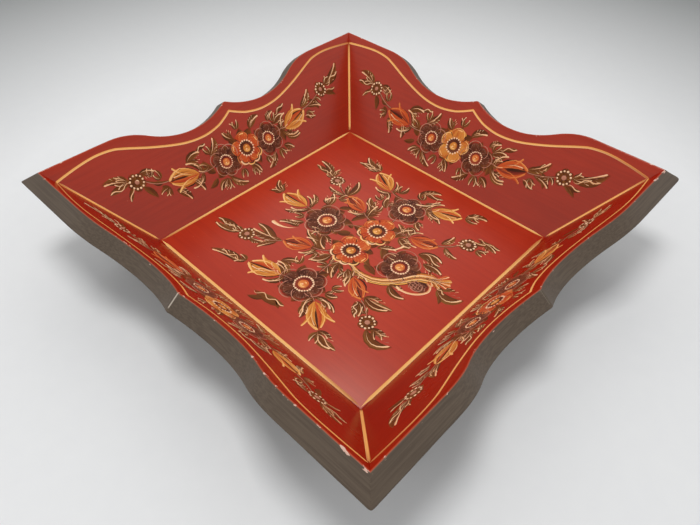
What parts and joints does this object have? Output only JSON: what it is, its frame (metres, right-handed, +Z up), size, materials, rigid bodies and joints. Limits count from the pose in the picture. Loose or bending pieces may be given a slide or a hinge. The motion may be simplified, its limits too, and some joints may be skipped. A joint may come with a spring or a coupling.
{
  "type": "serving tray",
  "caption": "Square wooden serving tray with flared, scalloped sides, mitred corners and a hand-painted floral inside.",
  "frame": {"origin": "centre of the tray's underside, on the surface that it stands on", "axes": "+Z up, X and Y square to the sides; the front board is on -Y and the right board is on +X"},
  "size_m": [0.297, 0.297, 0.0663],
  "materials": {
    "floor_paint": "satin red paint on wood",
    "side_paint": "satin red paint inside, dull dark umber paint on the edges and outside",
    "pin_steel": "plain drawn steel wire"
  },
  "bodies": {
    "root": {"floor_board": "floor_paint", "side_board_front": "side_paint", "side_board_right": "side_paint", "side_board_back": "side_paint", "side_board_left": "side_paint", "corner_pins": "pin_steel", "floor_pins": "pin_steel"}
  },
  "joints": []
}
